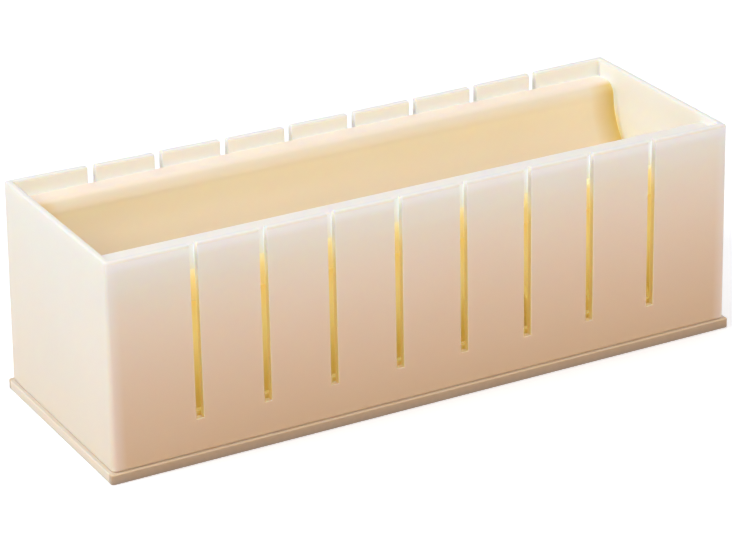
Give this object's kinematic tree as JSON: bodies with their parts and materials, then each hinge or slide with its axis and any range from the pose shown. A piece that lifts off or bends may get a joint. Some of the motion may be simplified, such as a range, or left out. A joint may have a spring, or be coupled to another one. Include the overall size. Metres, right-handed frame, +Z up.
{
  "type": "sushi rice mould press",
  "caption": "Long slotted box frame on a base plate, holding half-round moulds that press rice into a sushi roll; the slots guide a knife.",
  "frame": {"origin": "middle of the foot, on the surface that the press stands on", "axes": "+X along the roll, +Y to the far long wall, +Z up"},
  "size_m": [0.2238, 0.0784, 0.0717],
  "materials": {
    "frame_plastic": "satin milky ivory, slightly translucent",
    "base_plastic": "satin milky ivory, slightly translucent",
    "mould_plastic": "satin warm ivory, slightly translucent"
  },
  "bodies": {
    "base": {"base_plate": "base_plastic"},
    "frame": {"outer_frame": "frame_plastic"},
    "lower_half": {"lower_mould_half": "mould_plastic"},
    "upper_half": {"upper_mould_half": "mould_plastic"}
  },
  "joints": [
    {"name": "frame_lift", "type": "slide", "parent": "base", "child": "frame", "axis": [0, 0, 1], "range_m": [0, 0.075]},
    {"name": "lower_half_lift", "type": "slide", "parent": "base", "child": "lower_half", "axis": [0, 0, 1], "range_m": [0, 0.075]},
    {"name": "upper_half_lift", "type": "slide", "parent": "lower_half", "child": "upper_half", "axis": [0, 0, 1], "range_m": [0, 0.05]}
  ]
}
